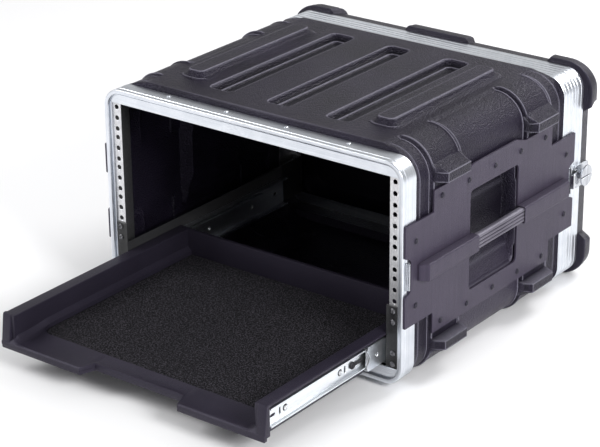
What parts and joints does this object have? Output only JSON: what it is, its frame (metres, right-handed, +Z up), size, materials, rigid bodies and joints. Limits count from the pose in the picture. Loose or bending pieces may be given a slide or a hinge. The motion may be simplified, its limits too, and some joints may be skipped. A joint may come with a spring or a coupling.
{
  "type": "equipment rack case",
  "caption": "Moulded rack case with metal valances, drilled rails, side handles, a slide-out lined tray and a latched rear lid; the front is open.",
  "frame": {"origin": "bottom centre of the whole object's box, with the tray pulled out", "axes": "+Z up, -Y out of the open front, +X to the right seen from the front"},
  "size_m": [0.536, 0.727, 0.3367],
  "materials": {
    "moulded_shell": "black pebbled moulded plastic with a faint violet cast",
    "side_plate": "satin charcoal moulded plastic",
    "handle_grip": "satin charcoal plastic with lengthwise ridges",
    "valance_aluminium": "bright anodised extrusion",
    "rail_steel": "bright zinc-plated steel",
    "black_steel": "black powder coat",
    "zinc_steel": "bright zinc",
    "latch_steel": "nickel-plated steel",
    "tray_plastic": "charcoal moulded plastic, fine grain",
    "foam_liner": "black speckled foam",
    "lever_plastic": "black moulded plastic"
  },
  "bodies": {
    "case": {"body_shell": "moulded_shell", "front_valance": "valance_aluminium", "rear_valance": "valance_aluminium", "front_rail_r": "rail_steel", "front_rail_l": "rail_steel", "rear_rail_r": "rail_steel", "rear_rail_l": "rail_steel", "side_plate_r": "side_plate", "side_plate_l": "side_plate", "handle_grip_r": "handle_grip", "handle_grip_l": "handle_grip", "front_keeper_r": "latch_steel", "front_keeper_l": "latch_steel", "rear_keeper_r": "latch_steel", "rear_keeper_l": "latch_steel", "tray_bracket_r": "black_steel", "tray_bracket_l": "black_steel", "rear_bracket_r": "black_steel", "rear_bracket_l": "black_steel", "slide_outer_r": "zinc_steel", "slide_outer_l": "zinc_steel", "ear_screw_1_r": "black_steel", "ear_screw_2_r": "black_steel", "ear_screw_3_r": "black_steel", "ear_screw_4_r": "black_steel", "ear_screw_1_l": "black_steel", "ear_screw_2_l": "black_steel", "ear_screw_3_l": "black_steel", "ear_screw_4_l": "black_steel"},
    "middle_slide_r": {"slide_middle_r": "zinc_steel"},
    "middle_slide_l": {"slide_middle_l": "zinc_steel"},
    "tray": {"tray_base": "tray_plastic", "tray_body": "tray_plastic", "tray_liner": "foam_liner", "slide_drawer_r": "zinc_steel", "slide_drawer_l": "zinc_steel", "drawer_screw_1_r": "zinc_steel", "drawer_screw_2_r": "zinc_steel", "drawer_screw_1_l": "zinc_steel", "drawer_screw_2_l": "zinc_steel", "slide_lever_r": "lever_plastic", "slide_lever_l": "lever_plastic"},
    "outer_cage_r": {"outer_ball_cage_r": "zinc_steel"},
    "outer_cage_l": {"outer_ball_cage_l": "zinc_steel"},
    "inner_cage_r": {"inner_ball_cage_r": "zinc_steel"},
    "inner_cage_l": {"inner_ball_cage_l": "zinc_steel"},
    "lid": {"lid_shell": "moulded_shell", "lid_valance": "valance_aluminium", "latch_base_r": "latch_steel", "latch_base_l": "latch_steel"},
    "latch_hub_r": {"latch_hub_r": "latch_steel"},
    "latch_wing_upper_r": {"latch_wing_upper_r": "latch_steel"},
    "latch_wing_lower_r": {"latch_wing_lower_r": "latch_steel"},
    "latch_hook_r": {"latch_hook_r": "latch_steel"},
    "latch_hub_l": {"latch_hub_l": "latch_steel"},
    "latch_wing_upper_l": {"latch_wing_upper_l": "latch_steel"},
    "latch_wing_lower_l": {"latch_wing_lower_l": "latch_steel"},
    "latch_hook_l": {"latch_hook_l": "latch_steel"}
  },
  "joints": [
    {"name": "middle_slide_r", "type": "slide", "parent": "case", "child": "middle_slide_r", "axis": [0, -1, 0], "range_m": [-0.043, 0.11]},
    {"name": "middle_slide_l", "type": "slide", "parent": "case", "child": "middle_slide_l", "axis": [0, -1, 0], "range_m": [-0.043, 0.11]},
    {"name": "tray_slide", "type": "slide", "parent": "middle_slide_r", "child": "tray", "axis": [0, -1, 0], "range_m": [-0.205, 0]},
    {"name": "outer_cage_r", "type": "slide", "parent": "case", "child": "outer_cage_r", "axis": [0, -1, 0], "range_m": [-0.0215, 0.055]},
    {"name": "inner_cage_r", "type": "slide", "parent": "middle_slide_r", "child": "inner_cage_r", "axis": [0, -1, 0], "range_m": [-0.1025, 0]},
    {"name": "outer_cage_l", "type": "slide", "parent": "case", "child": "outer_cage_l", "axis": [0, -1, 0], "range_m": [-0.0215, 0.055]},
    {"name": "inner_cage_l", "type": "slide", "parent": "middle_slide_l", "child": "inner_cage_l", "axis": [0, -1, 0], "range_m": [-0.1025, 0]},
    {"name": "lid_lift_off", "type": "slide", "parent": "case", "child": "lid", "axis": [0, 1, 0], "range_m": [0, 0.08]},
    {"name": "latch_twist_r", "type": "hinge", "parent": "lid", "child": "latch_hub_r", "pos_m": [0.2521, 0.3295, 0.16335], "axis": [1, 0, 0], "range_deg": [-18, 54]},
    {"name": "latch_hook_r", "type": "hinge", "parent": "lid", "child": "latch_hook_r", "pos_m": [0.2536, 0.3205, 0.16335], "axis": [0, 0, 1], "range_deg": [-7.5, 22.5]},
    {"name": "wing_upper_r", "type": "hinge", "parent": "latch_hub_r", "child": "latch_wing_upper_r", "pos_m": [0.2608, 0.3295, 0.16425], "axis": [0, 1, 0], "range_deg": [0, 85]},
    {"name": "wing_lower_r", "type": "hinge", "parent": "latch_hub_r", "child": "latch_wing_lower_r", "pos_m": [0.2608, 0.3295, 0.16245], "axis": [0, -1, 0], "range_deg": [0, 85]},
    {"name": "latch_twist_l", "type": "hinge", "parent": "lid", "child": "latch_hub_l", "pos_m": [-0.2521, 0.3295, 0.16335], "axis": [-1, 0, 0], "range_deg": [-18, 54]},
    {"name": "latch_hook_l", "type": "hinge", "parent": "lid", "child": "latch_hook_l", "pos_m": [-0.2536, 0.3205, 0.16335], "axis": [0, 0, -1], "range_deg": [-7.5, 22.5]},
    {"name": "wing_upper_l", "type": "hinge", "parent": "latch_hub_l", "child": "latch_wing_upper_l", "pos_m": [-0.2608, 0.3295, 0.16425], "axis": [0, -1, 0], "range_deg": [0, 85]},
    {"name": "wing_lower_l", "type": "hinge", "parent": "latch_hub_l", "child": "latch_wing_lower_l", "pos_m": [-0.2608, 0.3295, 0.16245], "axis": [0, 1, 0], "range_deg": [0, 85]}
  ],
  "couplings": [
    {"joint": "middle_slide_l", "follows": "middle_slide_r", "ratio": 1},
    {"joint": "outer_cage_r", "follows": "middle_slide_r", "ratio": 0.5},
    {"joint": "outer_cage_l", "follows": "middle_slide_r", "ratio": 0.5},
    {"joint": "inner_cage_r", "follows": "tray_slide", "ratio": 0.5},
    {"joint": "inner_cage_l", "follows": "tray_slide", "ratio": 0.5},
    {"joint": "latch_hook_r", "follows": "latch_twist_r", "ratio": 0.41667},
    {"joint": "latch_hook_l", "follows": "latch_twist_l", "ratio": 0.41667},
    {"joint": "wing_lower_r", "follows": "wing_upper_r", "ratio": 1},
    {"joint": "wing_lower_l", "follows": "wing_upper_l", "ratio": 1}
  ]
}
